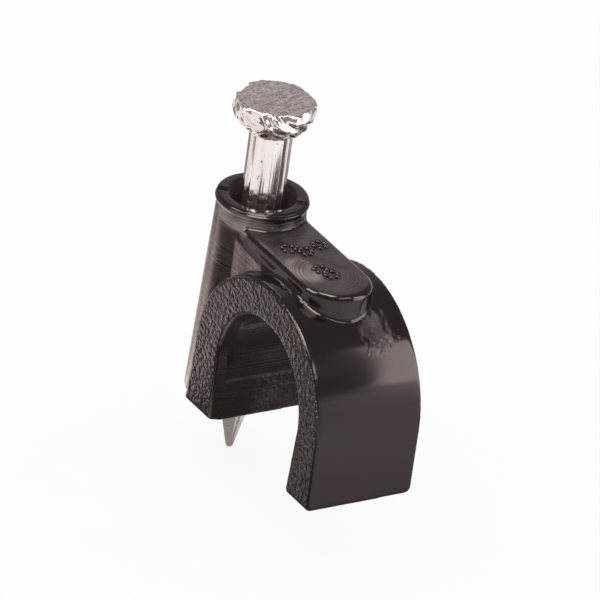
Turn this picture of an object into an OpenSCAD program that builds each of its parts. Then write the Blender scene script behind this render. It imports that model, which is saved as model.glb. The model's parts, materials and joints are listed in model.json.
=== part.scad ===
// Nail-in cable clip: a moulded hook that straddles a round cable, with a tapered barrel at its side
// that carries a steel nail ready to be driven. Sizes are in millimetres.
// The origin is where the nail's axis meets the wall. +Z runs up the nail to its head,
// +X runs from the nail across the hook to its free leg, and the cable runs along Y.

/* [Cable channel] */
// Width of the channel, the largest cable that it takes
cable_d = 7.4; // [6:0.1:9]
// Height of the channel above the wall
channel_h = 7.4; // [7:0.1:9]
// How far the free leg's inner face leans in at its foot
mouth_pinch = 0.3; // [0:0.05:0.6]
// Radial depth of the lead-in at each end of the channel
lead_in_depth = 0.25; // [0.1:0.05:0.5]
// Length of the lead-in along the cable
lead_in_l = 0.65; // [0.3:0.05:1.5]

/* [Hook] */
// Width of the hook along the cable
hook_w = 6.1; // [5:0.1:9]
// Thickness of the hook at its crown
crown_t = 2.15; // [1.5:0.05:3]
// Thickness of the free leg where the arch ends
leg_t = 2.15; // [1.5:0.05:3]
// Thickness of the leg beside the barrel where the arch ends
heel_t = 2.43; // [1.8:0.05:3]
// How far the outside of that leg steps out at its foot
heel_flare = 0.28; // [0:0.02:0.5]
// Radius at the inner edge of both feet
foot_in_r = 0.3; // [0.1:0.05:0.6]
// Radius at the feet's end corners on the -Y side
foot_front_r = 0.1; // [0.05:0.05:0.8]
// Radius at the feet's end corners on the +Y side
foot_back_r = 0.4; // [0.05:0.05:0.8]

/* [Barrel] */
// Height of the barrel above the wall
barrel_h = 11.36; // [10.8:0.02:14]
// Diameter of the barrel at the wall
barrel_base_d = 5.44; // [5:0.01:6.4]
// Diameter of the barrel just below its collar
barrel_neck_d = 4.6; // [4.2:0.01:5]
// Radius round the bottom edge of the barrel
barrel_base_r = 0.2; // [0.1:0.05:0.6]
// How far the collar stands out from the neck
collar_out = 0.1; // [0.05:0.01:0.3]
// Height of the collar
collar_h = 0.42; // [0.34:0.02:1]
// Radius round the top edge of the collar
collar_top_r = 0.2; // [0.05:0.01:0.22]
// Diameter of the cup at the barrel's mouth
cup_d = 3.4; // [3:0.05:3.8]
// Depth of the cup
cup_depth = 1.7; // [0.8:0.1:3]
// Plastic between the nail's bore and the channel
bore_wall = 1.45; // [1.2:0.05:2.2]

/* [Bridge] */
// Width of the bridge that ties the barrel to the crown
bridge_w = 3.95; // [3:0.05:4.4]
// Height of the bridge's top above the crown, over the middle of the channel
bridge_rise = 0.67; // [0.4:0.01:1.2]
// Fall of the bridge's top away from the barrel, in degrees
bridge_fall = 1.2; // [0:0.1:4]
// How far the bridge's round end runs past the middle of the channel
bridge_past = 2.72; // [2:0.02:3.4]
// Height of the bevel round the bridge's top
bridge_bevel_h = 0.22; // [0.1:0.02:0.4]
// Width of that bevel, seen from above
bridge_bevel_w = 0.16; // [0.05:0.01:0.3]
// Width of the web under the bridge
web_w = 4.2; // [3.4:0.1:4.4]
// How far the web's top lies below the bridge's top, at the nail's axis
web_drop = 0.46; // [0.3:0.02:0.7]
// Fall of the web's top away from the barrel, in degrees
web_fall = 7; // [3:0.5:10]

/* [Nail] */
// Length of the nail from its point to the top of its head
nail_l = 20; // [18:0.5:26]
// How far the point stands out below the wall face
point_out = 3.32; // [2:0.02:5]
// Diameter of the shank over its ridges
shank_d = 2.2; // [1.8:0.05:2.4]
// Number of flutes round the shank
flute_n = 14; // [8:1:18]
// Depth of each flute
flute_depth = 0.06; // [0.02:0.01:0.1]
// Length of the tapered point
point_l = 3.95; // [3:0.05:5]
// Radius of the blunt end of the point
point_r = 0.2; // [0.1:0.01:0.3]
// Widest diameter of the head
head_d = 4.1; // [3.4:0.02:4.8]
// Height of the head
head_h = 1.8; // [1.4:0.01:2.4]
// Height of the head's upset rim, from its widest level to the top
head_rim_h = 0.45; // [0.3:0.01:0.6]
// How far the top face lies in from the widest level
head_rim_in = 0.1; // [0.05:0.01:0.2]
// Depth of the nick in the head's edge
nick_depth = 0.25; // [0:0.01:0.4]

/* [Fit] */
// Radial clearance round the nail in its bore
bore_clear = 0.025; // [0.01:0.005:0.08]

/* [Hidden] */
$fn = 96;
over = 1;

cable_r = cable_d / 2;
shank_r = shank_d / 2;
bore_r = shank_r + bore_clear;
// The channel's axis: it lies along Y over this point
reach = bore_r + bore_wall + cable_r;
arch_z = channel_h - cable_r;
// The hook's outer arch spans both legs and sits on the crown's thickness
outer_r = (cable_d + leg_t + heel_t) / 2;
outer_x = reach + (leg_t - heel_t) / 2;
crown_z = channel_h + crown_t;
outer_z = crown_z - outer_r;
pinch_angle = atan(mouth_pinch / arch_z);
bridge_end_x = reach + bridge_past;
bridge_axis_z = crown_z + bridge_rise + reach * tan(bridge_fall);
neck_r = barrel_neck_d / 2;
collar_r = neck_r + collar_out;
neck_z = barrel_h - collar_h;
// The collar's lower edge is rounded within its overhang
collar_low_r = 0.8 * collar_out;
cut_w = max(hook_w, barrel_base_d) + 2 * over;

nail_top = nail_l - point_out;
head_z = nail_top - head_h;
head_r = head_d / 2;
bowl_h = head_h - head_rim_h;
point_angle = atan((shank_r - point_r) / (point_l - point_r));
flute_pitch = 360 / flute_n;
// A flute's arc is as wide as the pitch at the ridges and as deep as the flute
flute_chord = 2 * shank_r * sin(flute_pitch / 2);
flute_r = (pow(flute_chord / 2, 2) + pow(flute_depth, 2)) / (2 * flute_depth);

head_sides = 72;
bowl_rings = 8;
rim_rings = 3;
// Where the nick and the flattened side lie round the head, in degrees from +X
nick_at = 213;
nick_half = 9;
flat_at = 100;
flat_half = 34;
flat_in = 0.15;
// The hammered bowl: share of its bulge, and how many dents go round it
dent_share = 0.05;
dents_round = 7;
bowl_power = 0.85;
// How far the bowl's first ring is sunk in the shank
head_root = 0.15;

module along_y(w) {
    rotate([90, 0, 0])
        linear_extrude(w, center = true)
            children();
}

// What to cut away for a radius at a corner at the origin, with the solid on the +X +Y side of it
module corner_cut(r, past = over) {
    difference() {
        translate([-past, -past])
            square(r + past);
        translate([r, r])
            circle(r);
    }
}

module barrel() {
    base_r = barrel_base_d / 2;
    rotate_extrude()
        difference() {
            polygon([[0, 0], [base_r, 0], [neck_r, neck_z], [collar_r, neck_z],
                     [collar_r, barrel_h], [0, barrel_h]]);
            translate([base_r, 0])
                mirror([1, 0])
                    corner_cut(barrel_base_r);
            translate([collar_r, neck_z])
                mirror([1, 0])
                    corner_cut(collar_low_r, collar_out);
            translate([collar_r, barrel_h])
                rotate(180)
                    corner_cut(collar_top_r);
        }
}

module hook_outline() {
    heel_x = outer_x - outer_r;
    toe_x = outer_x + outer_r;
    intersection() {
        translate([outer_x, outer_z])
            circle(outer_r);
        translate([heel_x, outer_z])
            square([2 * outer_r, outer_r]);
    }
    polygon([[heel_x - heel_flare, 0], [toe_x, 0], [toe_x, outer_z], [heel_x, outer_z]]);
}

// Cuts a radius along one foot corner edge of the hook, on its -Y side
module foot_corner(r) {
    translate([-barrel_base_d, -hook_w / 2, 0])
        rotate([90, 0, 90])
            linear_extrude(2 * (outer_r + barrel_base_d))
                corner_cut(r);
}

// The hook before its channel is cut
module hook() {
    difference() {
        along_y(hook_w)
            hook_outline();
        foot_corner(foot_front_r);
        mirror([0, 1, 0])
            foot_corner(foot_back_r);
    }
}

// Half of the bridge's cross section, with the bevel at its top
module bridge_half(top_z) {
    half_w = bridge_w / 2;
    polygon([[0, outer_z], [half_w, outer_z], [half_w, top_z - bridge_bevel_h],
             [half_w - bridge_bevel_w, top_z], [0, top_z]]);
}

// The bridge runs from the barrel over the crown to a round end, and its top falls a little on the way
module bridge() {
    top_z = bridge_axis_z * cos(bridge_fall);
    straight_l = bridge_end_x - bridge_w / 2;
    rotate([0, bridge_fall, 0]) {
        rotate([90, 0, 90])
            linear_extrude(straight_l) {
                bridge_half(top_z);
                mirror([1, 0])
                    bridge_half(top_z);
            }
        translate([straight_l, 0, 0])
            rotate_extrude()
                bridge_half(top_z);
    }
}

// The web fills the corner between barrel, crown and bridge
module web() {
    top_z = bridge_axis_z - web_drop;
    along_y(web_w)
        polygon([[0, arch_z], [0, top_z], [reach, top_z - reach * tan(web_fall)], [reach, arch_z]]);
}

module channel_outline() {
    translate([reach, arch_z])
        circle(cable_r);
    foot_x = reach + cable_r - mouth_pinch;
    polygon([[reach - cable_r, -over], [foot_x - over * tan(pinch_angle), -over],
             [reach + cable_r, arch_z], [reach - cable_r, arch_z]]);
    translate([foot_x, 0])
        corner_cut(foot_in_r);
    translate([reach - cable_r, 0])
        mirror([1, 0])
            corner_cut(foot_in_r);
}

// One straight lead-in: a wedge beside a wall that faces +X at the origin, downwards from its top
module lead_in_wedge() {
    translate([0, 0, -2 * channel_h])
        linear_extrude(2 * channel_h)
            polygon([[0, -lead_in_l], [over, -lead_in_l], [over, over], [-lead_in_depth, over],
                     [-lead_in_depth, 0]]);
}

module lead_in() {
    translate([reach, hook_w / 2, arch_z]) {
        translate([0, -lead_in_l, 0])
            rotate([-90, 0, 0])
                cylinder(lead_in_l, cable_r, cable_r + lead_in_depth);
        translate([-cable_r, 0, 0])
            lead_in_wedge();
        translate([cable_r, 0, 0])
            rotate([0, pinch_angle, 0])
                mirror([1, 0, 0])
                    lead_in_wedge();
    }
}

module channel() {
    along_y(cut_w)
        channel_outline();
    for (side = [0, 1])
        mirror([0, side, 0])
            lead_in();
}

module nail_bore() {
    translate([0, 0, -over])
        cylinder(barrel_h + 2 * over, r = bore_r);
    translate([0, 0, barrel_h - cup_depth])
        cylinder(cup_depth, (bore_r + cup_d / 2) / 2, cup_d / 2);
    translate([0, 0, barrel_h])
        cylinder(over, d = cup_d);
}

module clip_body() {
    color("#221f1f")
        difference() {
            union() {
                barrel();
                hook();
                web();
                bridge();
            }
            channel();
            nail_bore();
        }
}

// Share of a smooth dip with the given half width, at an angle a from its middle
function dip(a, half) =
    let (d = abs((a + 540) % 360 - 180)) d < half ? (1 + cos(180 * d / half)) / 2 : 0;

// How far the head's edge lies in from a circle, at an angle a round it
function edge_in(a) = nick_depth * dip(a - nick_at, nick_half) + flat_in * dip(a - flat_at, flat_half);

// The bowl's radius at an angle a and a share u of its height, with its hammered dents
function bowl_r(a, u) =
    let (bulge = pow(sin(90 * u), bowl_power),
         dent = dent_share * sin(180 * u) * sin(dents_round * a + 200 * u))
    shank_r + (head_r - edge_in(a) - shank_r) * (bulge + dent);

// The upset rim's radius at a share u of its height
function rim_r(a, u) = head_r - edge_in(a) - head_rim_in * pow(u, 3);

function ring(z, radii) = [for (i = [0:head_sides - 1]) let (a = 360 * i / head_sides)
    [radii[i] * cos(a), radii[i] * sin(a), z]];

function angles() = [for (i = [0:head_sides - 1]) 360 * i / head_sides];

module nail_head() {
    root = ring(-head_root, [for (a = angles()) shank_r - 2 * flute_depth]);
    bowl = [for (j = [0:bowl_rings]) ring(bowl_h * j / bowl_rings,
        [for (a = angles()) j == 0 ? shank_r + flute_depth : bowl_r(a, j / bowl_rings)])];
    rim = [for (j = [1:rim_rings]) ring(bowl_h + head_rim_h * j / rim_rings,
        [for (a = angles()) rim_r(a, j / rim_rings)])];
    rings = concat([root], bowl, rim);
    last = len(rings) - 1;
    sides = [for (j = [0:last - 1], i = [0:head_sides - 1]) let (k = (i + 1) % head_sides)
        each [[j * head_sides + i, (j + 1) * head_sides + i, (j + 1) * head_sides + k],
              [j * head_sides + i, (j + 1) * head_sides + k, j * head_sides + k]]];
    bottom = [for (i = [0:head_sides - 1]) i];
    top = [for (i = [0:head_sides - 1]) last * head_sides + head_sides - 1 - i];
    translate([0, 0, head_z])
        polyhedron([for (r = rings) each r], concat(sides, [bottom, top]));
}

// The fluted wire, pointed at its lower end by a cone that runs into a blunt round tip
module nail_shank() {
    tip_z = point_r - point_out;
    cone_r = point_r * cos(point_angle);
    cone_z = tip_z - point_r * sin(point_angle);
    cone_top_r = shank_r + flute_r;
    intersection() {
        translate([0, 0, -point_out])
            linear_extrude(head_z + point_out + bowl_h / 2)
                difference() {
                    circle(shank_r);
                    for (i = [0:flute_n - 1])
                        rotate(i * flute_pitch)
                            translate([shank_r * cos(flute_pitch / 2) - flute_depth + flute_r, 0])
                                circle(flute_r);
                }
        union() {
            translate([0, 0, tip_z])
                sphere(point_r);
            translate([0, 0, cone_z])
                cylinder((cone_top_r - cone_r) / tan(point_angle), cone_r, cone_top_r);
            translate([0, 0, cone_z + (cone_top_r - cone_r) / tan(point_angle)])
                cylinder(nail_l, r = cone_top_r);
        }
    }
}

module nail() {
    color("#b7b1b0") {
        nail_shank();
        nail_head();
    }
}

clip_body();
nail();
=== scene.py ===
"""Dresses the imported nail-in cable clip: the black moulded clip and the plated steel nail that it carries.

Pieces are modelled in millimetres, as their sizes are known, and scaled to metres when they are finished.
"""

import json
import math
from types import SimpleNamespace

import bmesh
import bpy
import numpy as np
from bpy.props import FloatProperty, FloatVectorProperty, IntProperty, PointerProperty
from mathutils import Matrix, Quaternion, Vector


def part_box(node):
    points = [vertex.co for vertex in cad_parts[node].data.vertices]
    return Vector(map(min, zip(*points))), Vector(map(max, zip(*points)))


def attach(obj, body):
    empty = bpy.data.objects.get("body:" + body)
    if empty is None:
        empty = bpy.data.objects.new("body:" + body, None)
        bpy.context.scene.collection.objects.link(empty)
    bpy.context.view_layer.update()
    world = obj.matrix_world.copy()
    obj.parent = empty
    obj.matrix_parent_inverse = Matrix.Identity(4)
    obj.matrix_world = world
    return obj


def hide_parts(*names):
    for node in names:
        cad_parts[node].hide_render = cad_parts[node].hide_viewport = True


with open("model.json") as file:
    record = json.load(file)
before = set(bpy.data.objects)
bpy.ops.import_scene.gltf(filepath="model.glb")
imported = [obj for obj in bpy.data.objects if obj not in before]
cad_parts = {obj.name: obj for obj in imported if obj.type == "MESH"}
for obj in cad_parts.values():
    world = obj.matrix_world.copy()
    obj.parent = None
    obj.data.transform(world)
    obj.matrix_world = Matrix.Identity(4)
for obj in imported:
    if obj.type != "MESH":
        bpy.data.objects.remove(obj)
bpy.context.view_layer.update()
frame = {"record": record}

bl_info = {
    "name": "Nail-in cable clip",
    "version": (1, 0, 0),
    "blender": (4, 5, 0),
    "location": "View3D > Sidebar > Cable clip",
    "description": "Models a moulded cable clip and its nail over the packed solids",
    "category": "Object",
}

MM = 0.001
CLIP_LOW, CLIP_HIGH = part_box("clip_body")
NAIL_LOW, NAIL_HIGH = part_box("nail")
MOUNTS = {mount["name"]: mount for mount in frame["record"]["mounts"]}
SEAT = MOUNTS["cable_seat"]
# Sides of the big arches and of the turned forms, enough for an even gloss
ARCH_SIDES = 320
TURNED_SIDES = 192
# Points round the nail from one ridge to the next
FLUTE_STEPS = 16
# A point this close to a plane lies on it, in millimetres
NEAR = 0.01
# A face looks along an axis when its normal has this share of it
FACING = 0.9
# How far a cutter runs past what it cuts, in millimetres
BEYOND = 1
# Rosettes on the bridge's top: middle in millimetres and turn in degrees
ROSETTES = ((4.0, -0.72, 0), (4.5, -0.02, 20), (4.1, 1.0, 40), (6.35, -0.28, 10), (6.98, 0.0, 25))
ROSETTE_PIPS = 6


def length(name, description, millimetres):
    """A property that holds a length, with its default given in millimetres."""
    return FloatProperty(
        name=name, description=description, default=millimetres * MM, unit="LENGTH", precision=5
    )


def angle(name, description, degrees):
    """A property that holds an angle, with its default given in degrees."""
    return FloatProperty(
        name=name, description=description, default=math.radians(degrees), unit="ROTATION"
    )


def colour(name, description, hex_code):
    """A property that holds a colour, with its default given as an sRGB hex code."""
    return FloatVectorProperty(
        name=name,
        description=description,
        default=linear(hex_code)[:3],
        size=3,
        subtype="COLOR",
        min=0,
        max=1,
    )


def linear(hex_code):
    """An sRGB hex code as the linear RGBA that shaders take."""
    parts = [int(hex_code[i : i + 2], 16) / 255 for i in (1, 3, 5)]
    return tuple(c / 12.92 if c <= 0.04045 else ((c + 0.055) / 1.055) ** 2.4 for c in parts) + (1.0,)


class ClipSizes(bpy.types.PropertyGroup):
    """Sizes of the moulding"""

    hook_width: length("Hook width", "Width of the hook along the cable", (CLIP_HIGH.y - CLIP_LOW.y) / MM)
    cable_radius: length("Cable radius", "Radius of the channel's arch", SEAT["dims"]["r_mm"])
    reach: length("Reach", "From the nail's axis to the middle of the channel", SEAT["pos_m"][0] / MM)
    arch_height: length("Arch height", "Height of the arch's centre above the wall", SEAT["pos_m"][2] / MM)
    toe_x: length("Toe", "Outer face of the free leg, from the nail's axis", CLIP_HIGH.x / MM)
    crown_thickness: length("Crown", "Thickness of the hook at its crown", 2.15)
    heel_thickness: length("Heel", "Thickness of the leg beside the barrel", 2.43)
    heel_flare: length("Heel flare", "How far that leg steps out at its foot", 0.28)
    mouth_pinch: length("Mouth pinch", "How far the free leg leans in at its foot", 0.3)
    foot_front_radius: length("Front foot radius", "Radius at the feet's corners on the -Y side", 0.1)
    foot_back_radius: length("Back foot radius", "Radius at the feet's corners on the +Y side", 0.4)
    lead_in_depth: length("Lead-in depth", "How far the channel opens at each end", 0.25)
    lead_in_length: length("Lead-in length", "Length of that opening along the cable", 0.65)
    barrel_height: length("Barrel height", "Height of the barrel above the wall", CLIP_HIGH.z / MM)
    base_radius: length("Barrel base", "Radius of the barrel at the wall", 2.72)
    neck_radius: length("Barrel neck", "Radius of the barrel just below its collar", 2.3)
    collar_overhang: length("Collar overhang", "How far the collar stands out from the neck", 0.1)
    collar_height: length("Collar height", "Height of the collar", 0.42)
    lip_drop: length("Lip drop", "How far the collar's front half is rolled down", 0.1)
    cup_radius: length("Cup radius", "Radius of the cup at the barrel's mouth", 1.7)
    cup_depth: length("Cup depth", "Depth of the cup", 1.7)
    bore_radius: length("Bore radius", "Radius of the bore that holds the nail", 1.125)
    bridge_width: length("Bridge width", "Width of the bridge over the crown", 3.95)
    bridge_rise: length("Bridge rise", "Height of its top above the crown, over the channel", 0.67)
    bridge_past: length("Bridge past", "How far its round end runs past the channel's middle", 2.72)
    bevel_height: length("Bevel height", "Height of the bevel round the bridge's top", 0.22)
    bevel_width: length("Bevel width", "Width of that bevel, seen from above", 0.19)
    bevel_shift: length("Bevel shift", "How far the bridge's top lies to the -Y side", 0.08)
    web_width: length("Web width", "Width of the web under the bridge", 4.2)
    web_drop: length("Web drop", "How far the web's top lies below the bridge's, at the nail", 0.46)
    bridge_fall: angle("Bridge fall", "Fall of the bridge's top away from the barrel", 1.2)
    web_fall: angle("Web fall", "Fall of the web's top", 7)
    skin_step: length("Skin step", "Mesh size of the moulded skin", 0.09)
    grain_depth: length("Grain depth", "Depth of the grain on the end faces", 0.05)
    pip_radius: length("Pip radius", "Radius of the raised pips on the bridge", 0.15)
    satin_top: length("Satin top", "Height where the free leg's matt face ends", 6.1)
    band_top: length("Band top", "Height of the grained band on the wall beside the barrel", 2.2)


class NailSizes(bpy.types.PropertyGroup):
    """Sizes of the nail"""

    top: length("Top", "Height of the head's top above the wall", NAIL_HIGH.z / MM)
    point: length("Point", "Height of the point, below the wall", NAIL_LOW.z / MM)
    shank_radius: length("Shank radius", "Radius of the shank over its ridges", 1.1)
    flute_depth: length("Flute depth", "Depth of each flute", 0.06)
    point_length: length("Point length", "Length of the tapered point", 3.95)
    point_radius: length("Point radius", "Radius of the blunt end of the point", 0.2)
    head_radius: length("Head radius", "Radius of the head at its widest", 2.05)
    head_height: length("Head height", "Height of the head", 1.8)
    rim_height: length("Rim height", "Height of the head's upset rim", 0.45)
    rim_in: length("Rim in", "How far the top lies in from the head's widest level", 0.06)
    flat_in: length("Flat", "How far in the head's flattened side lies", 0.2)
    nick_depth: length("Nick depth", "Depth of the nick in the head's edge", 0.22)
    nick_turn: angle("Nick turn", "Where the nick lies round the head, from +X", 213)
    dent_depth: length("Dent depth", "Depth of the hammered dents", 0.2)
    flutes: IntProperty(name="Flutes", description="Number of flutes round the shank", default=14, min=3)
    ridge_turn: angle("Ridge turn", "Where the first ridge lies round the shank, from +X", -47.4)


class ClipFinishes(bpy.types.PropertyGroup):
    """Colours of the clip, the nail and the floor"""

    plastic: colour("Plastic", "Black pigment of the moulding", "#1b1816")
    # Pale tone that paints sheen, glints and highlights into the plastic's colour
    sheen_colour: colour("Painted sheen", "Plastic where fine brushing scatters the light", "#a99b98")
    satin: colour("Satin plastic", "Plastic where the mould was left matt", "#211e1c")
    steel: colour("Plated steel", "Bright zinc plate on the nail", "#ece5e3")
    struck: colour("Struck top", "Bare top of the nail's head", "#c4b5b4")
    scored: colour("Scored top", "Dark scoring on that top", "#6f6463")
    floor: colour("Floor", "Paper that the clip stands on", "#fbf3f0")


class StageSettings(bpy.types.PropertyGroup):
    """Place of the camera and scale of its picture"""

    azimuth: angle("Azimuth", "Camera's place round the clip", 55.429)
    elevation: angle("Elevation", "Camera's height angle", 27.291)
    roll: angle("Roll", "Camera's turn about its own axis", 7.966)
    distance: length("Distance", "From the camera to the middle of the clip", 300)
    pixels_per_mm: FloatProperty(
        name="Pixels per mm", description="Scale of the picture at the clip", default=20.01, min=1
    )


def in_millimetres(group):
    """The group's lengths in millimetres, and its other values as they are."""
    values = {}
    for name, prop in group.bl_rna.properties.items():
        if prop.type in ("FLOAT", "INT"):
            value = getattr(group, name)
            values[name] = value / MM if getattr(prop, "unit", "") == "LENGTH" else value
    return SimpleNamespace(**values)


def deselect():
    """Object mode with nothing selected."""
    if bpy.context.object and bpy.context.object.mode != "OBJECT":
        bpy.ops.object.mode_set(mode="OBJECT")
    bpy.ops.object.select_all(action="DESELECT")


def take(obj):
    """Makes obj the only selected object."""
    deselect()
    obj.select_set(True)
    bpy.context.view_layer.objects.active = obj
    return obj


def settle(name):
    """Names the primitive that was just added and puts its place and turn into its mesh."""
    obj = bpy.context.object
    obj.name = obj.data.name = name
    bpy.ops.object.transform_apply(location=True, rotation=True, scale=True)
    return obj


def pick(obj, kind, test):
    """In edit mode, selects only the vertices, edges or faces that pass the test."""
    bpy.ops.mesh.select_mode(type=kind)
    bpy.ops.mesh.select_all(action="DESELECT")
    mesh = bmesh.from_edit_mesh(obj.data)
    for item in {"VERT": mesh.verts, "EDGE": mesh.edges, "FACE": mesh.faces}[kind]:
        item.select_set(bool(test(item)))
    mesh.select_flush_mode()
    bmesh.update_edit_mesh(obj.data)


def face_out():
    """In edit mode, merges doubles and turns all faces outwards, then goes back to object mode."""
    bpy.ops.mesh.select_all(action="SELECT")
    bpy.ops.mesh.remove_doubles(threshold=0.0005)
    bpy.ops.mesh.normals_make_consistent(inside=False)
    bpy.ops.object.mode_set(mode="OBJECT")


def extrude(x=0, y=0, z=0):
    """In edit mode, extrudes what is selected by the given millimetres."""
    bpy.ops.mesh.extrude_region_move(TRANSFORM_OT_translate={"value": (x, y, z)})


def turned(name, profile, sides, closed=False):
    """A turned form: a circle at the profile's first (radius, height), drawn on from point to point.

    A closed profile meets its own start and gives a ring; an open one gets a face at both ends.
    """
    deselect()
    radius, height = profile[0]
    bpy.ops.mesh.primitive_circle_add(vertices=sides, radius=radius, location=(0, 0, height))
    obj = settle(name)
    bpy.ops.object.mode_set(mode="EDIT")
    bpy.ops.mesh.select_mode(type="VERT")
    bpy.ops.mesh.select_all(action="SELECT")
    for next_radius, next_height in profile[1:]:
        extrude(z=next_height - height)
        grow = next_radius / radius
        bpy.ops.transform.resize(value=(grow, grow, 1), center_override=(0, 0, next_height))
        radius, height = next_radius, next_height
    if closed:
        pick(obj, "EDGE", lambda e: e.is_boundary)
        bpy.ops.mesh.bridge_edge_loops()
    else:
        bpy.ops.mesh.edge_face_add()
        pick(obj, "EDGE", lambda e: e.is_boundary)
        bpy.ops.mesh.edge_face_add()
    face_out()
    return obj


def modify(obj, kind, **settings):
    """Adds a modifier with its settings to obj and applies it."""
    take(obj)
    bpy.ops.object.modifier_add(type=kind)
    modifier = obj.modifiers[-1]
    for name, value in settings.items():
        setattr(modifier, name, value)
    bpy.ops.object.modifier_apply(modifier=modifier.name)


def combine(obj, other, operation):
    """Joins other to obj as one solid, or cuts it out of obj, and removes it."""
    modify(obj, "BOOLEAN", object=other, operation=operation, solver="EXACT")
    bpy.data.objects.remove(other)


def join(obj, others):
    """Joins the other meshes into obj's."""
    take(obj)
    for other in others:
        other.select_set(True)
    bpy.ops.object.join()


def dents(obj, name, texture_type, size, depth, level, weights, direction="NORMAL", detail=2):
    """Presses a procedural pattern into obj, as deep as each vertex's weight says."""
    texture = bpy.data.textures.new(name, texture_type)
    texture.noise_scale = size
    if texture_type != "VORONOI":
        texture.noise_depth = detail
    group = obj.vertex_groups.new(name=name)
    for index, share in enumerate(weights):
        if share > 0:
            group.add([index], share, "REPLACE")
    modify(
        obj,
        "DISPLACE",
        texture=texture,
        texture_coords="LOCAL",
        direction=direction,
        mid_level=level,
        strength=depth,
        vertex_group=name,
    )


def finish_piece(obj, name, node):
    """Scales a piece from millimetres to metres and lets it stand for its node."""
    take(obj)
    obj.scale = (MM, MM, MM)
    bpy.ops.object.transform_apply(location=True, rotation=True, scale=True)
    bpy.ops.object.shade_smooth()
    obj.name = obj.data.name = name
    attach(obj, "root")
    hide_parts(node)


def half_bar(name, radius, width, x, z, drop):
    """Half a round bar along the cable, its axis at x and z, drawn straight down; left in edit mode."""
    deselect()
    bpy.ops.mesh.primitive_cylinder_add(
        vertices=ARCH_SIDES, radius=radius, depth=width, location=(x, 0, z), rotation=(math.pi / 2, 0, 0)
    )
    bar = settle(name)
    bpy.ops.object.mode_set(mode="EDIT")
    bpy.ops.mesh.select_all(action="SELECT")
    bpy.ops.mesh.bisect(plane_co=(x, 0, z), plane_no=(0, 0, 1), clear_inner=True, use_fill=True)
    pick(bar, "FACE", lambda f: f.normal.z < -FACING)
    extrude(z=-drop)
    return bar


def block(name, end_x, width, low, top):
    """A block from the nail's axis to end_x, centred across the clip; left in edit mode."""
    deselect()
    bpy.ops.mesh.primitive_cube_add(
        size=1, location=(end_x / 2, 0, (low + top) / 2), scale=(end_x, width, top - low)
    )
    obj = settle(name)
    bpy.ops.object.mode_set(mode="EDIT")
    return obj


def crown_height(s):
    """Height of the hook's crown."""
    return s.arch_height + s.cable_radius + s.crown_thickness


def bridge_top(s, x):
    """Height of the bridge's top at x."""
    return crown_height(s) + s.bridge_rise + (s.reach - x) * math.tan(s.bridge_fall)


def web_top(s, x):
    """Height of the web's top at x."""
    return bridge_top(s, 0) - s.web_drop - x * math.tan(s.web_fall)


def hook_block(s):
    """The hook without its channel: half a round bar, drawn down to the wall."""
    outer_radius = (s.toe_x - (s.reach - s.cable_radius - s.heel_thickness)) / 2
    centre_x = s.toe_x - outer_radius
    centre_z = crown_height(s) - outer_radius
    half = s.hook_width / 2
    hook = half_bar("hook", outer_radius, s.hook_width, centre_x, centre_z, centre_z)
    pick(hook, "VERT", lambda v: v.co.z < NEAR and v.co.x < centre_x)
    bpy.ops.transform.translate(value=(-s.heel_flare, 0, 0))
    for side, radius in ((-1, s.foot_front_radius), (1, s.foot_back_radius)):
        pick(hook, "EDGE", lambda e: all(v.co.z < NEAR and v.co.y * side > half - NEAR for v in e.verts))
        bpy.ops.mesh.bevel(offset=radius, segments=6, affect="EDGES")
    face_out()
    return hook


def bridge_block(s):
    """The bridge: a bar with a round end, a bevelled top and a slight fall."""
    end_x = s.reach + s.bridge_past
    top = bridge_top(s, 0) * math.cos(s.bridge_fall)
    bridge = block("bridge", end_x, s.bridge_width, s.arch_height, top - s.bevel_height)

    def at_round_end(edge):
        one, other = (v.co for v in edge.verts)
        return min(one.x, other.x) > end_x - NEAR and abs(one.z - other.z) > 1

    # The two corners' radii fall a hair short of half the width, so that they don't meet
    hair = 0.005
    pick(bridge, "EDGE", at_round_end)
    bpy.ops.mesh.bevel(offset=s.bridge_width / 2 - hair, segments=48, affect="EDGES")
    pick(bridge, "FACE", lambda f: f.normal.z > FACING)
    bpy.ops.mesh.inset(thickness=s.bevel_width)
    bpy.ops.transform.translate(value=(0, -s.bevel_shift, s.bevel_height))
    face_out()
    bridge.rotation_euler = (0, s.bridge_fall, 0)
    bpy.ops.object.transform_apply(location=True, rotation=True, scale=True)
    return bridge


def web_block(s):
    """The web in the corner between barrel, crown and bridge, with a falling top."""
    top = web_top(s, 0)
    web = block("web", s.reach, s.web_width, s.arch_height, top)
    pick(web, "VERT", lambda v: v.co.z > top - NEAR and v.co.x > s.reach / 2)
    bpy.ops.transform.translate(value=(0, 0, -s.reach * math.tan(s.web_fall)))
    face_out()
    return web


def channel_cutter(s):
    """What the cable's channel takes out: an arch with straight walls, opening out at both ends."""
    middle = s.hook_width - 2 * s.lead_in_length
    drop = s.arch_height + BEYOND
    cutter = half_bar("channel", s.cable_radius, middle, s.reach, s.arch_height, drop)
    pick(cutter, "VERT", lambda v: v.co.z < 0 and v.co.x > s.reach)
    bpy.ops.transform.translate(value=(-s.mouth_pinch * drop / s.arch_height, 0, 0))
    grow = 1 + s.lead_in_depth / s.cable_radius
    for side in (-1, 1):
        pick(cutter, "FACE", lambda f: f.normal.y * side > FACING)
        extrude(y=side * s.lead_in_length)
        bpy.ops.transform.resize(
            value=(grow, 1, grow), center_override=(s.reach, side * s.hook_width / 2, s.arch_height)
        )
        extrude(y=side * BEYOND)
    face_out()
    return cutter


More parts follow.
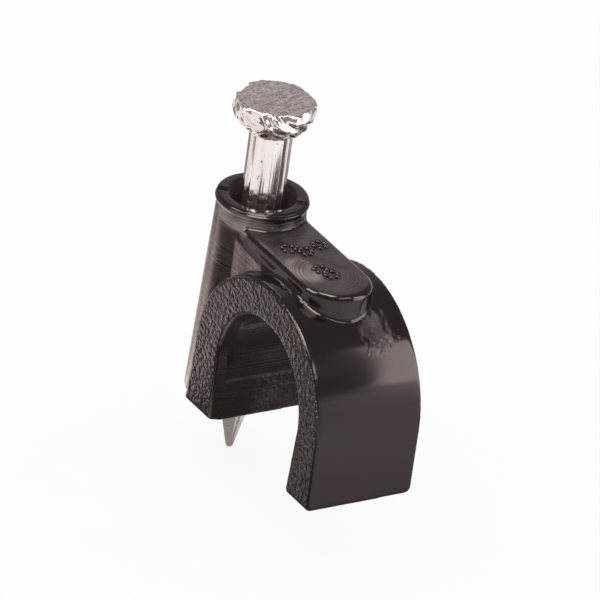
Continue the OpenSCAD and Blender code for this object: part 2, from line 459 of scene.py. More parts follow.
def collar_ring(s):
    """The barrel's collar, two beads with a crease between them, and the cup inside it down to the bore."""
    top = s.barrel_height
    neck = top - s.collar_height
    outer = s.neck_radius + s.collar_overhang
    cup_floor = top - s.cup_depth
    floor_radius = (s.bore_radius + s.cup_radius) / 2
    floor_corner = 0.06
    # The ring's root lies inside the barrel, and its hole lies a little inside the bore
    root_radius = s.neck_radius - 0.15
    root_depth = 0.3
    hole_radius = s.bore_radius - 0.01
    # In from the widest level and up from the neck: a flare, the lower bead, the crease and the rolled rim
    flare = [(0.1, -0.2), (0.085, -0.1), (0.04, -0.02), (0.01, 0.04)]
    bead = [(0, 0.09), (0.01, 0.14), (0.045, 0.18), (0.095, 0.21)]
    crease = [(0.1, 0.23), (0.08, 0.255), (0.065, 0.29)]
    rim = [(0.075, 0.335), (0.11, 0.38), (0.16, 0.41), (0.21, s.collar_height)]
    # Out from the cup's wall and down from the top
    mouth = [(0.25, 0), (0.1, 0.01), (0.04, 0.035), (0, 0.1)]
    profile = [(root_radius, neck - root_depth)]
    profile += [(outer - inward, neck + up) for inward, up in flare + bead + crease + rim]
    profile += [(s.cup_radius + outward, top - down) for outward, down in mouth]
    profile += [(floor_radius, cup_floor + floor_corner), (floor_radius - floor_corner, cup_floor)]
    profile += [(hole_radius, cup_floor), (hole_radius, cup_floor - root_depth)]
    profile += [(root_radius, cup_floor - root_depth)]
    ring = turned("collar", profile, TURNED_SIDES, closed=True)
    bpy.ops.object.mode_set(mode="EDIT")
    lip_low = neck + 0.24
    lip_start, lip_end = -124, 44

    def on_front_lip(v):
        turn = math.degrees(math.atan2(v.co.y, v.co.x))
        return v.co.z > lip_low and lip_start < turn < lip_end

    pick(ring, "VERT", on_front_lip)
    bpy.ops.transform.translate(value=(0, 0, -s.lip_drop))
    face_out()
    return ring


def barrel_form(s):
    """The tapered barrel with a rolled foot; its top ends inside the collar, which is a ring of its own."""
    neck = s.barrel_height - s.collar_height
    taper = (s.base_radius - s.neck_radius) / neck
    foot = 0.2
    profile = [
        (s.base_radius - foot, 0),
        (s.base_radius - foot * 0.3, foot * 0.3),
        (s.base_radius - foot * taper, foot),
        (s.neck_radius, neck),
        (s.neck_radius - 0.02, neck + 0.15),
    ]
    return turned("barrel", profile, TURNED_SIDES)


def bore_cutter(s):
    """What the nail's bore takes out, and above it the room for the collar's ring."""
    bore_top = s.barrel_height - s.cup_depth - 0.2
    room = s.neck_radius - 0.3
    profile = [
        (s.bore_radius, -BEYOND),
        (s.bore_radius, bore_top),
        (room, bore_top),
        (room, s.barrel_height + BEYOND),
    ]
    return turned("bore", profile, TURNED_SIDES)


def moulded_clip(s):
    """The whole moulding: its solids joined, hollowed, then given a skin with moulded edges."""
    barrel = barrel_form(s)
    clip = hook_block(s)
    for solid in (barrel, web_block(s), bridge_block(s)):
        combine(clip, solid, "UNION")
    for cutter in (channel_cutter(s), bore_cutter(s)):
        combine(clip, cutter, "DIFFERENCE")
    modify(clip, "REMESH", mode="VOXEL", voxel_size=s.skin_step, adaptivity=0)
    modify(clip, "SMOOTH", factor=0.5, iterations=7)
    soften_bridge_foot(clip, s)
    join(clip, [collar_ring(s), *pips(s)])
    return clip


def soften_bridge_foot(clip, s):
    """Wider moulded fillets at the bridge's foot on the crown and where the web meets its side."""
    crown = crown_height(s)
    straight = s.reach + s.bridge_past - s.bridge_width / 2
    ledge_start, ledge_half, ledge_out = 1.6, 0.22, 0.2
    foot_half, foot_drop, foot_out = 1.4, 1.6, 0.55
    below_bevel = 0.45
    group = clip.vertex_groups.new(name="bridge_foot")
    for v in clip.data.vertices:
        x, y, z = v.co
        out = math.hypot(max(x - straight, 0), y) - s.bridge_width / 2
        on_ledge = ledge_start < x < s.reach and abs(z - web_top(s, x)) < ledge_half
        by_foot = abs(x - s.reach) < foot_half and crown - foot_drop < z < bridge_top(s, x) - below_bevel
        if on_ledge and -0.05 < out < ledge_out:
            group.add([v.index], 1, "REPLACE")
        elif by_foot and -0.1 < out < foot_out:
            group.add([v.index], 1 - max(out, 0) / foot_out, "REPLACE")
    modify(clip, "SMOOTH", factor=0.5, iterations=40, vertex_group=group.name)


def pip_places(s):
    """Middles of the raised pips on the bridge's top: small rosettes, each a ring of pips."""
    ring = 1.1 * s.pip_radius / math.sin(math.pi / ROSETTE_PIPS)
    for x, y, turn in ROSETTES:
        for step in range(ROSETTE_PIPS):
            angle_round = math.radians(turn + 360 * step / ROSETTE_PIPS)
            yield x + ring * math.cos(angle_round), y + ring * math.sin(angle_round)


def pips(s):
    """The raised pips: one low dome, copied to its places."""
    deselect()
    bpy.ops.mesh.primitive_uv_sphere_add(segments=16, ring_count=8, radius=s.pip_radius)
    first = settle("pip")
    made = []
    for x, y in pip_places(s):
        take(first)
        bpy.ops.object.duplicate(linked=False)
        bpy.ops.transform.translate(value=(x, y, bridge_top(s, x)))
        bpy.ops.object.transform_apply(location=True, rotation=True, scale=True)
        made.append(bpy.context.object)
    bpy.data.objects.remove(first)
    return made


def ramp(value, low, high):
    """Smooth share from 0 at low to 1 at high, for a number array."""
    share = np.clip((value - low) / (high - low), 0, 1)
    return share * share * (3 - 2 * share)


def skin_points(mesh):
    """Places in millimetres and normals of a mesh's vertices, as number arrays."""
    count = len(mesh.vertices)
    places, normals = np.zeros(count * 3), np.zeros(count * 3)
    mesh.vertices.foreach_get("co", places)
    mesh.vertex_normals.foreach_get("vector", normals)
    x, y, z = places.reshape(-1, 3).T
    nx, ny, nz = normals.reshape(-1, 3).T
    return SimpleNamespace(x=x, y=y, z=z, nx=nx, ny=ny, nz=nz)


def spot(along, across, size, fade):
    """A round spot with a soft edge; along and across run from its middle, as shares of its half sizes."""
    return ramp(size - np.hypot(along, across), 0, fade)


def grained_faces(p, s):
    """The spark-eroded hook ends, web sides and band on the wall beside the barrel, and that band's top
    edge, where a highlight is painted.
    """
    half = s.hook_width / 2
    off_middle = np.abs(p.y)
    ends = ramp(off_middle, half - 0.2, half - 0.12) * ramp(np.abs(p.ny), 0.96, 0.995)
    web = ramp(np.abs(p.ny), 0.8, 0.95) * ramp(p.x, 1.2, 1.3) * ramp(web_top(s, p.x) - p.z, 0.08, 0.2)
    web *= (off_middle > s.bridge_width / 2) & (off_middle < s.web_width / 2 + 0.1)
    on_wall = (p.x < s.reach) & (off_middle < half - s.lead_in_length)
    band = ramp(p.nx, 0.8, 0.95) * ramp(s.band_top - p.z, -0.04, 0.04) * ramp(p.y, -1.0, -0.2) * on_wall
    # The band's top edge carries only a painted highlight
    edge_z = s.band_top + 0.07
    band_edge = ramp(0.09 - np.abs(p.z - edge_z), 0, 0.05) * (p.nx > 0.8) * on_wall
    return ends, web, band, band_edge


def turned_forms(p, s):
    """The forms that were turned or bored in the mould: barrel, bridge's top, channel and cup."""
    from_axis = np.hypot(p.x, p.y)
    barrel = ramp(s.base_radius + 0.06 - from_axis, 0, 0.05)
    barrel *= (np.abs(p.nz) < 0.5) & (p.x < s.reach - s.cable_radius - 0.1)
    bridge = ramp(p.nz, 0.9, 0.98) * (np.abs(p.z - bridge_top(s, p.x) + 0.04) < 0.06)
    from_arch = np.hypot(p.x - s.reach, np.maximum(p.z - s.arch_height, 0))
    channel = ramp(s.cable_radius + 0.4 - from_arch, 0, 0.1) * (np.abs(p.ny) < 0.5)
    cup = (from_axis < s.cup_radius + 0.02) & (p.z > s.barrel_height - s.cup_depth - 0.1)
    return barrel, bridge, channel, cup


def sheen_spots(p, s, barrel, bridge):
    """Where the sheen is painted: the brushed patch on the bridge, the highlight streaks at the barrel's
    neck and the blotch on the hook.
    """
    # The patch's arcs are real brushing; its pale share is a painted sheen
    patch_x, patch_y = s.reach - 0.15, -1.15
    patch = spot((p.x - patch_x) / 1.6, (p.y - patch_y) / 0.95, 1.0, 0.5) * bridge
    # The neck's streaks are painted highlights where light glances off the turned lines under the collar
    # Angle round the barrel in radians, and height
    neck_turn, neck_z = -1.0, 10.55
    neck = spot(np.arctan2(p.y, p.x) - neck_turn, (p.z - neck_z) / 0.6, 0.95, 0.4) * barrel
    # A rough spot on the hook's arch; its grain and broken lines are real, its pale share paints part of the
    # reflected pale patch
    blotch_y, blotch_z = 1.15, 8.2
    ragged = 0.3 * np.sin(5 * p.y + 3 * p.z) * np.cos(4 * p.z - 7 * p.y)
    ragged += 0.12 * np.sin(13 * p.y + 6 * p.z + 2 * np.sin(7 * p.z))
    ragged += 0.08 * np.sin(23 * p.y - 19 * p.z)
    blotch = spot((p.z - blotch_z) / 0.85, (p.y - blotch_y) / 1.1, 0.9 + ragged, 0.5)
    blotch *= (p.nx > 0.3) & (p.x > s.reach) & (p.z > s.arch_height)
    return patch, neck, blotch


def mark_finishes(clip, s):
    """Writes the mould's finishes as attributes that the plastic reads, and gives back the grain.

    grain is spark eroded, satin is matt, painted_sheen is a pale painted sheen and highlight, and turned has
    fine lines. The lines run where course, in millimetres, stays the same: round the barrel, along the cable
    and in arcs on the bridge. In the blotch they are broken up.
    """
    mesh = clip.data
    p = skin_points(mesh)
    ends, web, band, band_edge = grained_faces(p, s)
    barrel, bridge, channel, cup = turned_forms(p, s)
    patch, neck, blotch = sheen_spots(p, s, barrel, bridge)
    leg = ramp(p.nx, 0.7, 0.85) * ramp(s.satin_top - p.z, -0.35, 0.35) * (p.x > s.reach + s.cable_radius)
    # Painted sheen on the brushed patch, the neck's streaks, the blotch and the bridge's top
    sheen_share = patch + 1.2 * neck + 0.45 * blotch + 0.2 * bridge
    shares = {
        "grain": ends + web + 0.9 * band + 0.2 * blotch,
        "satin": leg + 0.3 * bridge + 0.6 * cup,
        # Also painted glints on the web and the band, a painted highlight on the band's top edge, and
        # painted light in the dark cup
        "painted_sheen": sheen_share + 0.85 * web + 0.12 * cup + 0.12 * band + 0.2 * band_edge,
        "turned": 0.7 * barrel + 0.12 * bridge + 0.35 * channel + 0.25 * patch + 0.05 * blotch,
    }
    marks = {name: np.clip(share, 0, 1) for name, share in shares.items()}
    arc_x, arc_y = s.reach + 0.6, -0.1
    arcs = np.hypot(p.x - arc_x, (p.y - arc_y) * 1.1)
    broken = p.z + np.random.default_rng(7).uniform(-0.12, 0.12, len(p.z))
    marks["course"] = np.where(bridge > 0.5, arcs, np.where(blotch > 0, broken, p.z))
    for name, values in marks.items():
        attribute = mesh.attributes.new(name, "FLOAT", "POINT")
        attribute.data.foreach_set("value", values.astype(np.float32))
    return marks["grain"].tolist()


def add_node(tree, kind, inputs=(), **settings):
    """Adds a shader node with its settings; an input is a value or the socket that it is linked from."""
    node = tree.nodes.new("ShaderNode" + kind)
    for name, value in settings.items():
        setattr(node, name, value)
    for socket, value in dict(inputs).items():
        if isinstance(value, bpy.types.NodeSocket):
            tree.links.new(value, node.inputs[socket])
        else:
            node.inputs[socket].default_value = value
    return node


def new_material(name):
    """An empty node material and its tree."""
    material = bpy.data.materials.new(name)
    material.use_nodes = True
    material.node_tree.nodes.clear()
    return material, material.node_tree


def per_mm(pitch):
    """Texture scale, in metres, of a pattern with that pitch in millimetres."""
    return 1 / (pitch * MM)


def moulded_plastic(finishes):
    """Black polypropylene from a steel mould: a soft gloss where the mould was polished, fine lines where
    it was turned, a leathery grain with small glints where it was spark eroded, and pale streaks of
    painted sheen and painted highlight."""
    material, tree = new_material("moulded_polypropylene")
    place = add_node(tree, "TexCoord").outputs["Object"]
    mark = {
        name: add_node(tree, "Attribute", attribute_name=name).outputs["Fac"]
        for name in ("grain", "satin", "painted_sheen", "turned", "course")
    }
    # Real turning lines are finer; these are as coarse as they need to be to show. Course is in millimetres
    line_pitch = 0.11
    lines = add_node(
        tree,
        "TexNoise",
        {"W": mark["course"], "Scale": 1 / line_pitch, "Detail": 3.0, "Roughness": 0.65},
        noise_dimensions="1D",
    ).outputs["Fac"]
    waver = add_node(
        tree, "TexNoise", {"Vector": place, "Scale": per_mm(1.2), "Detail": 2.0}
    ).outputs["Fac"]
    lines = add_node(tree, "Math", {0: lines, 1: waver}, operation="MULTIPLY").outputs[0]
    line_height = add_node(tree, "Math", {0: lines, 1: mark["turned"]}, operation="MULTIPLY").outputs[0]
    line_bump = add_node(
        tree, "Bump", {"Height": line_height, "Strength": 1.0, "Distance": 0.06 * MM}
    ).outputs["Normal"]
    # The grain's cells are a little wider than they are high
    cell_place = add_node(
        tree, "Mapping", {"Vector": place, "Scale": (per_mm(0.25), per_mm(0.25), per_mm(0.22))}
    ).outputs["Vector"]
    cells = add_node(
        tree, "TexNoise", {"Vector": cell_place, "Scale": 1.0, "Detail": 1.5, "Roughness": 0.55}
    ).outputs["Fac"]
    cell_height = add_node(tree, "Math", {0: cells, 1: mark["grain"]}, operation="MULTIPLY").outputs[0]
    grain_bump = add_node(
        tree, "Bump", {"Height": cell_height, "Strength": 1.0, "Distance": 0.15 * MM, "Normal": line_bump}
    ).outputs["Normal"]
    # Roughness of the polished mould, and what each finish adds to it
    rough = 0.13
    for finish, added in (("grain", 0.15), ("satin", 0.32), ("painted_sheen", 0.2)):
        rough = add_node(
            tree, "Math", {0: mark[finish], 1: added, 2: rough}, operation="MULTIPLY_ADD"
        ).outputs[0]
    # The pits of the grain hold back part of the gloss
    gloss = add_node(
        tree, "Math", {0: mark["grain"], 1: -0.28, 2: 0.5}, operation="MULTIPLY_ADD"
    ).outputs[0]
    # painted_sheen paints a pale highlight and sheen into the base colour, broken into streaks by the lines
    streaks = add_node(
        tree, "MapRange", {"Value": lines, "From Min": 0.12, "From Max": 0.4, "To Min": 0.1, "To Max": 0.8}
    ).outputs[0]
    pale = add_node(tree, "Math", {0: mark["painted_sheen"], 1: streaks}, operation="MULTIPLY").outputs[0]
    body = (*finishes.plastic, 1)
    for share, tone in ((mark["satin"], finishes.satin), (pale, finishes.sheen_colour)):
        body = add_node(tree, "Mix", {0: share, 6: body, 7: (*tone, 1)}, data_type="RGBA").outputs[2]
    shader = add_node(
        tree,
        "BsdfPrincipled",
        {
            "Base Color": body,
            "Roughness": rough,
            "IOR": 1.5,
            "Specular IOR Level": gloss,
            "Specular Tint": linear("#ffeae5"),
            "Normal": grain_bump,
        },
    )
    add_node(tree, "OutputMaterial", {"Surface": shader.outputs[0]})
    return material


def zinc_plate(finishes):
    """Bright zinc on drawn steel wire: a mirror with fine lines along the wire and a few dull pits."""
    material, tree = new_material("bright_zinc_plate")
    place = add_node(tree, "TexCoord").outputs["Object"]
    drawn_place = add_node(
        tree, "Mapping", {"Vector": place, "Scale": (per_mm(0.12), per_mm(0.12), per_mm(3))}
    ).outputs["Vector"]
    drawn = add_node(tree, "TexNoise", {"Vector": drawn_place, "Scale": 1.0, "Detail": 3.0}).outputs["Fac"]
    blots = add_node(
        tree, "TexNoise", {"Vector": place, "Scale": per_mm(0.45), "Detail": 3.0, "Roughness": 0.6}
    ).outputs["Fac"]
    pits = add_node(
        tree, "MapRange", {"Value": blots, "From Min": 0.66, "From Max": 0.72, "To Min": 0.0, "To Max": 1.0}
    ).outputs[0]
    height = add_node(tree, "Math", {0: pits, 1: -1.5, 2: drawn}, operation="MULTIPLY_ADD").outputs[0]
    bump = add_node(
        tree, "Bump", {"Height": height, "Strength": 1.0, "Distance": 0.02 * MM}
    ).outputs["Normal"]
    tone = add_node(
        tree, "Mix", {0: pits, 6: (*finishes.steel, 1), 7: (*finishes.scored, 1)}, data_type="RGBA"
    ).outputs[2]
    shader = add_node(
        tree, "BsdfPrincipled", {"Base Color": tone, "Metallic": 1.0, "Roughness": 0.14, "Normal": bump}
    )
    add_node(tree, "OutputMaterial", {"Surface": shader.outputs[0]})
    return material


def struck_steel(finishes):
    """Steel as the heading die left it: matt, granular and scored one way, with no plate shine."""
    material, tree = new_material("struck_steel")
    place = add_node(tree, "TexCoord").outputs["Object"]
    grit = add_node(
        tree, "TexNoise", {"Vector": place, "Scale": per_mm(0.14), "Detail": 4.0, "Roughness": 0.75}
    ).outputs["Fac"]
    scored_place = add_node(
        tree,
        "Mapping",
        {"Vector": place, "Rotation": (0, 0, math.radians(100)), "Scale": (1.1 * MM, 0.3 * MM, MM)},
        vector_type="TEXTURE",
    ).outputs["Vector"]
    scores = add_node(
        tree, "TexNoise", {"Vector": scored_place, "Scale": 1.0, "Detail": 3.0, "Distortion": 1.6}
    ).outputs["Fac"]
    height = add_node(tree, "Math", {0: scores, 1: 0.45, 2: grit}, operation="MULTIPLY_ADD").outputs[0]
    bump = add_node(
        tree, "Bump", {"Height": height, "Strength": 1.0, "Distance": 0.05 * MM}
    ).outputs["Normal"]
    share = add_node(
        tree, "MapRange", {"Value": height, "From Min": 0.56, "From Max": 0.9, "To Min": 0.0, "To Max": 1.0}
    ).outputs[0]
    tone = add_node(
        tree, "Mix", {0: share, 6: (*finishes.scored, 1), 7: (*finishes.struck, 1)}, data_type="RGBA"
    ).outputs[2]
    shader = add_node(
        tree, "BsdfPrincipled", {"Base Color": tone, "Metallic": 0.25, "Roughness": 0.6, "Normal": bump}
    )
    add_node(tree, "OutputMaterial", {"Surface": shader.outputs[0]})
    return material


class CLIP_OT_moulding(bpy.types.Operator):
    """Models the black moulding: hook, barrel, collar, web and bridge"""

    bl_idname = "cable_clip.moulding"
    bl_label = "Moulded clip"

    def execute(self, context):
        s = in_millimetres(context.scene.clip_sizes)
        clip = moulded_clip(s)
        take(clip)
        bpy.ops.object.shade_smooth()
        grain = mark_finishes(clip, s)
        dents(clip, "spark_eroded", "CLOUDS", 0.25, s.grain_depth, 1.0, grain)
        clip.data.materials.append(moulded_plastic(context.scene.clip_finishes))
        finish_piece(clip, "moulded_clip", "clip_body")
        return {"FINISHED"}


def steps(count):
    """Even shares of a way, from the first step to its end."""
    return [step / count for step in range(1, count + 1)]


def between(start, end, share):
    """The value that lies at a share of the way from start to end."""
    return start + (end - start) * share


def nail_profile(n):
    """(radius, height) from the blunt point up the shank, round the head and in to its top's middle."""
    shank_top = n.top - n.head_height
    taper_top = n.point + n.point_length
    bowl_height = n.head_height - n.rim_height
    profile = []
    for degrees in (15, 35, 55, 75):
        turn = math.radians(degrees)
        profile.append((n.point_radius * math.sin(turn), n.point + n.point_radius * (1 - math.cos(turn))))
    tip_radius, tip = profile[-1]
    for share in steps(12):
        profile.append((between(tip_radius, n.shank_radius, share), between(tip, taper_top, share)))
    # Two rings close under the head keep the shank's shine straight up to it
    for share in steps(30):
        profile.append((n.shank_radius, between(taper_top, shank_top - 0.1, share)))
    profile.append((n.shank_radius, shank_top - 0.04))
    for share in steps(28):
        bulge = math.sin(math.pi / 2 * share) ** 0.7
        radius = between(n.shank_radius, n.head_radius, bulge)
        profile.append((radius, shank_top + bowl_height * share))
    for share in steps(8):
        profile.append((n.head_radius - n.rim_in * share**3, n.top - n.rim_height * (1 - share)))
    rim = profile[-1][0]
    for share in steps(20)[:-1]:
        profile.append((rim * (1 - share), n.top))
    return profile


def plated_nail(n):
    """The nail: a turned form with flutes pressed along its shank and a hammered head."""
    nail = turned("nail_form", nail_profile(n), FLUTE_STEPS * n.flutes)
    fluted_top = n.top - n.head_height - 0.02
    pitch = 2 * math.pi / n.flutes
    bpy.ops.object.mode_set(mode="EDIT")
    for step in range(1, FLUTE_STEPS // 2 + 1):
        share = 1 - (2 * step / FLUTE_STEPS - 1) ** 2

        def in_flute(v):
            if v.co.z > fluted_top:
                return False
            turn = (math.atan2(v.co.y, v.co.x) / pitch) % 1 * FLUTE_STEPS
            return min(abs(turn - step), abs(turn - (FLUTE_STEPS - step))) < 0.3

        pick(nail, "VERT", in_flute)
        press = 1 - share * n.flute_depth / n.shank_radius
        bpy.ops.transform.resize(value=(press, press, 1), center_override=(0, 0, 0))
    bpy.ops.object.mode_set(mode="OBJECT")
    nail.rotation_euler = (0, 0, n.ridge_turn)
    bpy.ops.object.transform_apply(location=True, rotation=True, scale=True)
    hammer_head(nail, n)
    return nail


def hammer_head(nail, n):
    """The upset head as the die left it: a flat side, a nick, a crumpled bowl and an uneven top."""
    bowl_low = n.top - n.head_height
    flat_y = n.head_radius - n.flat_in
    flat_left = 0.15
    nick = Vector((math.cos(n.nick_turn), math.sin(n.nick_turn), 0))
    nick_low, nick_from, nick_half = n.top - 0.6, n.head_radius - 0.1, 0.25
    bpy.ops.object.mode_set(mode="EDIT")
    pick(nail, "VERT", lambda v: v.co.y > flat_y and v.co.z > bowl_low)
    bpy.ops.transform.resize(value=(1, flat_left, 1), center_override=(0, flat_y, 0))
    pick(nail, "VERT", lambda v: v.co.z > nick_low and v.co.dot(nick) > nick_from)
    bpy.ops.transform.translate(
        value=-n.nick_depth * nick,
        use_proportional_edit=True,
        proportional_edit_falloff="SMOOTH",
        proportional_size=nick_half,
    )
    bpy.ops.object.mode_set(mode="OBJECT")

    def bowl(co):
        """Full on the bowl, fading down to the shank and, faster, up to the top."""
        if math.hypot(co.x, co.y) <= n.shank_radius:
            return 0.0
        rise = (co.z - bowl_low) / n.head_height
        return max(0.0, min(1.0, 4 * rise, 10 * (1 - rise)))

    on_bowl = [bowl(v.co) for v in nail.data.vertices]
    on_top = [1.0 if v.co.z > n.top - 0.02 else 0.0 for v in nail.data.vertices]
    dents(nail, "hammered", "VORONOI", 0.95, n.dent_depth, 0.4, on_bowl)
    dents(nail, "folded", "MARBLE", 0.8, n.dent_depth * 0.8, 0.5, on_bowl, detail=0)
    dents(nail, "crumpled", "CLOUDS", 0.4, n.dent_depth / 4, 0.6, on_bowl, detail=0)
    dents(nail, "uneven_top", "CLOUDS", 0.4, 0.07, 1.0, on_top, "Z")


class CLIP_OT_nail(bpy.types.Operator):
    """Models the plated nail with its fluted shank and upset head"""

    bl_idname = "cable_clip.nail"
    bl_label = "Nail"

    def execute(self, context):
        n = in_millimetres(context.scene.nail_sizes)
        nail = plated_nail(n)
        finishes = context.scene.clip_finishes
        nail.data.materials.append(zinc_plate(finishes))
        nail.data.materials.append(struck_steel(finishes))
        take(nail)
        bpy.ops.object.mode_set(mode="EDIT")
        pick(nail, "FACE", lambda f: f.normal.z > 0.8 and f.calc_center_median().z > n.top - 0.1)
        nail.active_material_index = 1
        bpy.ops.object.material_slot_assign()
        bpy.ops.object.mode_set(mode="OBJECT")
        finish_piece(nail, "plated_nail", "nail")
        return {"FINISHED"}


# Middle of the clip, and where the picture's middle lies from it in the picture's own plane, in millimetres
CLIP_MIDDLE = Vector((5, 0, 7))
PICTURE_SHIFT = Vector((-0.1627, 0.6893, 0))
PICTURE_PIXELS = 600
# Sensor width in millimetres, as the camera takes it
SENSOR_WIDTH = 36
# Tints of the stage cards
WHITE, WARM, SHADE = "#ffffff", "#fff0ec", "#ffefec"
# Cards that stand: name, middle, facing, width, height, strength, turn and tint, in millimetres and degrees
STANDING_CARDS = (
    # Beside the hook, for the pale patch on its arch
    ("right_card", (22, 23.4, 14.0), (-1, 0, 0), 28, 19.2, 4.6, 20, WHITE),
    # Soft boxes for the lights on the bevels, the collar and the pips
    ("front_left_box", (-10, -82, 65), (0.1, 0.78, -0.62), 56, 46, 10.0, 0, WHITE),
    ("front_right_box", (80.5, 14.2, 73.6), (-0.73, -0.13, -0.67), 54, 24, 5.0, 0, WHITE),
    ("top_box", (29, -29, 102), (-0.265, 0.265, -0.927), 56, 56, 13.0, 0, WHITE),
    # Behind, for the bridge's top
    ("back_card", (-107, 75, 73), (0.72, -0.5, -0.48), 120, 90, 0.5, 0, SHADE),
)
# Cards on the floor: name, x, y, layer, width, height, strength, turn and tint. A layer hides those below it
FLOOR_CARDS = (
    # Bright paper for the barrel, the free leg's end face and the nail
    ("left_sheet", -8, -2.5, 0, 8, 21, 1.0, 0, WARM),
    ("barrel_sheet", -19, -1, 0, 14, 18, 1.0, 0, WARM),
    ("strip_sheet", -17.5, -9.5, 2, 26, 6.5, 2.7, 25, WARM),
    ("leg_sheet", 3.2, -8.5, 3, 9, 5.5, 1.8, 35, WARM),
    ("front_sheet", 33, -21, 0, 28, 38, 1.05, 0, WHITE),
    ("right_sheet", 37, 14, 0, 22, 30, 1.1, 0, WHITE),
    ("nail_sheet", 3.5, -36, 2, 15, 22, 1.05, 0, WHITE),
    # Dark cards that paint shade into the reflections of the end faces, the barrel, the nail's sides and the
    # underside of hook and head; the hook, bowl and point shadow cards paint the clip's own shadow on the
    # floor
    ("far_left_flag", -45, -5, 0, 36, 40, 0.3, 0, SHADE),
    ("face_flag", -9, -16.5, 1, 22, 14, 0.14, 0, SHADE),
    ("front_flag", -9.2, -25, 0, 12.5, 7, 0.12, 0, SHADE),
    ("right_flag", 7, 29, 0, 26, 34, 0.1, 0, SHADE),
    ("back_flag", -22, 34, 0, 30, 30, 0.42, 0, SHADE),
    ("bowl_shadow_card", 12.25, -13.3, 0, 13.5, 13.4, 0.1, 0, SHADE),
    ("hook_shadow_card", 9.5, 1.2, 2, 13, 15, 0.22, 0, SHADE),
    ("point_shadow_card", 0, -4, 1, 12, 9, 0.3, 0, SHADE),
)
# Height of the lowest layer of floor cards above the floor, and of each layer above the one below it
CARD_LIFT = 0.1
CARD_LAYER = 0.02


def reflect_only(obj, name, tint, strength):
    """Makes a stage card of obj: a plain glow that only reflections see."""
    obj.name = obj.data.name = name
    material, tree = new_material(name)
    glow = add_node(tree, "Emission", {"Color": linear(tint), "Strength": strength})
    add_node(tree, "OutputMaterial", {"Surface": glow.outputs[0]})
    obj.data.materials.append(material)
    for ray in ("camera", "diffuse", "transmission", "volume_scatter", "shadow"):
        setattr(obj, "visible_" + ray, False)


def card(name, middle, facing, width, height, strength, turn, tint):
    """A lit or dark studio card. Places and sizes are in millimetres, and its turn is in degrees."""
    deselect()
    bpy.ops.mesh.primitive_plane_add(size=1)
    obj = bpy.context.object
    obj.scale = (width * MM, height * MM, 1)
    obj.location = Vector(middle) * MM
    obj.rotation_mode = "QUATERNION"
    own_turn = Quaternion((0, 0, 1), math.radians(turn))
    obj.rotation_quaternion = Vector(facing).to_track_quat("Z", "Y") @ own_turn
    reflect_only(obj, name, tint, strength)


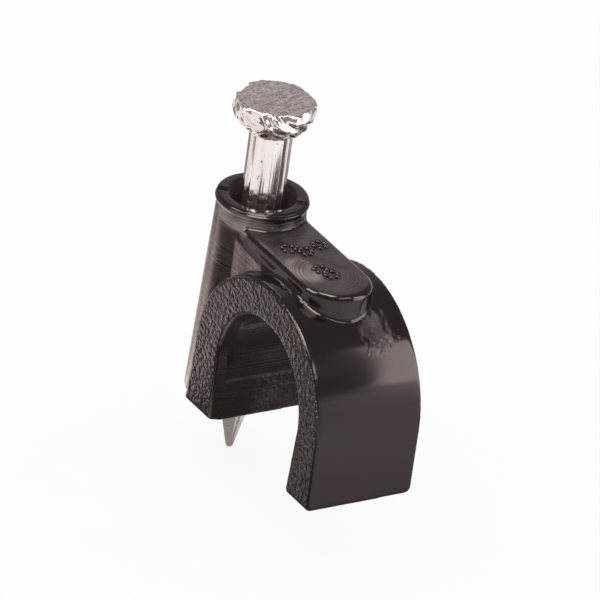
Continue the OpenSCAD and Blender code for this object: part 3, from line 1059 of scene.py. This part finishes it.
class CLIP_OT_stage(bpy.types.Operator):
    """Sets the camera, the floor and the soft studio light"""

    bl_idname = "cable_clip.stage"
    bl_label = "Stage"

    def execute(self, context):
        context.scene.view_settings.view_transform = "Standard"
        self.camera(context)
        self.world(context)
        self.floor(context)
        self.cards()
        return {"FINISHED"}

    def camera(self, context):
        """A long lens, placed and turned as the settings say."""
        stage = context.scene.stage_settings
        level = math.cos(stage.elevation)
        back = Vector(
            (math.sin(stage.azimuth) * level, -math.cos(stage.azimuth) * level, math.sin(stage.elevation))
        )
        turn = (-back).to_track_quat("-Z", "Y") @ Quaternion((0, 0, 1), stage.roll)
        aim = CLIP_MIDDLE * MM + turn @ PICTURE_SHIFT * MM
        lens = bpy.data.cameras.new("camera")
        camera = bpy.data.objects.new("camera", lens)
        context.scene.collection.objects.link(camera)
        camera.location = aim + back * stage.distance
        camera.rotation_mode = "QUATERNION"
        camera.rotation_quaternion = turn
        lens.sensor_width = SENSOR_WIDTH
        lens.lens = stage.pixels_per_mm * stage.distance / MM / PICTURE_PIXELS * SENSOR_WIDTH
        lens.clip_start = 0.01
        context.scene.camera = camera

    def world(self, context):
        """An even white surround."""
        world = bpy.data.worlds.new("studio")
        context.scene.world = world
        world.use_nodes = True
        tree = world.node_tree
        tree.nodes.clear()
        glow = add_node(tree, "Background", {"Color": (1, 1, 1, 1), "Strength": 1.0})
        add_node(tree, "OutputWorld", {"Surface": glow.outputs[0]})

    def floor(self, context):
        """White paper under the nail's point. The camera mostly sees it glow, and a soft shadow stays."""
        deselect()
        bpy.ops.mesh.primitive_plane_add(size=2, location=(0, 0, NAIL_LOW.z))
        floor = bpy.context.object
        floor.name = floor.data.name = "floor"
        material, tree = new_material("white_paper")
        path = add_node(tree, "LightPath").outputs
        tone = (*context.scene.clip_finishes.floor, 1)
        paper = add_node(tree, "BsdfPrincipled", {"Base Color": tone, "Roughness": 0.9}).outputs[0]
        glow = add_node(tree, "Emission", {"Color": (1, 1, 1, 1), "Strength": 1.0}).outputs[0]
        share = add_node(
            tree, "Math", {0: path["Is Camera Ray"], 1: 0.88}, operation="MULTIPLY"
        ).outputs[0]
        mixed = add_node(tree, "MixShader", {0: share, 1: paper, 2: glow}).outputs[0]
        add_node(tree, "OutputMaterial", {"Surface": mixed})
        floor.data.materials.append(material)

    def cards(self):
        """A grey surround, soft boxes and floor cards that the plastic and the plate reflect."""
        deselect()
        bpy.ops.mesh.primitive_uv_sphere_add(segments=64, ring_count=32, radius=0.25)
        reflect_only(bpy.context.object, "grey_surround", SHADE, 0.27)
        for row in STANDING_CARDS:
            card(*row)
        lowest = NAIL_LOW.z / MM + CARD_LIFT
        for name, x, y, layer, *rest in FLOOR_CARDS:
            card(name, (x, y, lowest + layer * CARD_LAYER), (0, 0, 1), *rest)


class CLIP_PT_pieces(bpy.types.Panel):
    bl_label = "Cable clip"
    bl_idname = "CLIP_PT_pieces"
    bl_space_type = "VIEW_3D"
    bl_region_type = "UI"
    bl_category = "Cable clip"

    def draw(self, context):
        for operator in (CLIP_OT_moulding, CLIP_OT_nail, CLIP_OT_stage):
            self.layout.operator(operator.bl_idname)


CLASSES = (
    ClipSizes,
    NailSizes,
    ClipFinishes,
    StageSettings,
    CLIP_OT_moulding,
    CLIP_OT_nail,
    CLIP_OT_stage,
    CLIP_PT_pieces,
)
SETTINGS = {
    "clip_sizes": ClipSizes,
    "nail_sizes": NailSizes,
    "clip_finishes": ClipFinishes,
    "stage_settings": StageSettings,
}


def register():
    for cls in CLASSES:
        bpy.utils.register_class(cls)
    for name, group in SETTINGS.items():
        setattr(bpy.types.Scene, name, PointerProperty(type=group))


def unregister():
    for name in SETTINGS:
        delattr(bpy.types.Scene, name)
    for cls in reversed(CLASSES):
        bpy.utils.unregister_class(cls)


def main():
    register()
    bpy.ops.cable_clip.moulding()
    bpy.ops.cable_clip.nail()
    bpy.ops.cable_clip.stage()


if __name__ == "__main__":
    main()
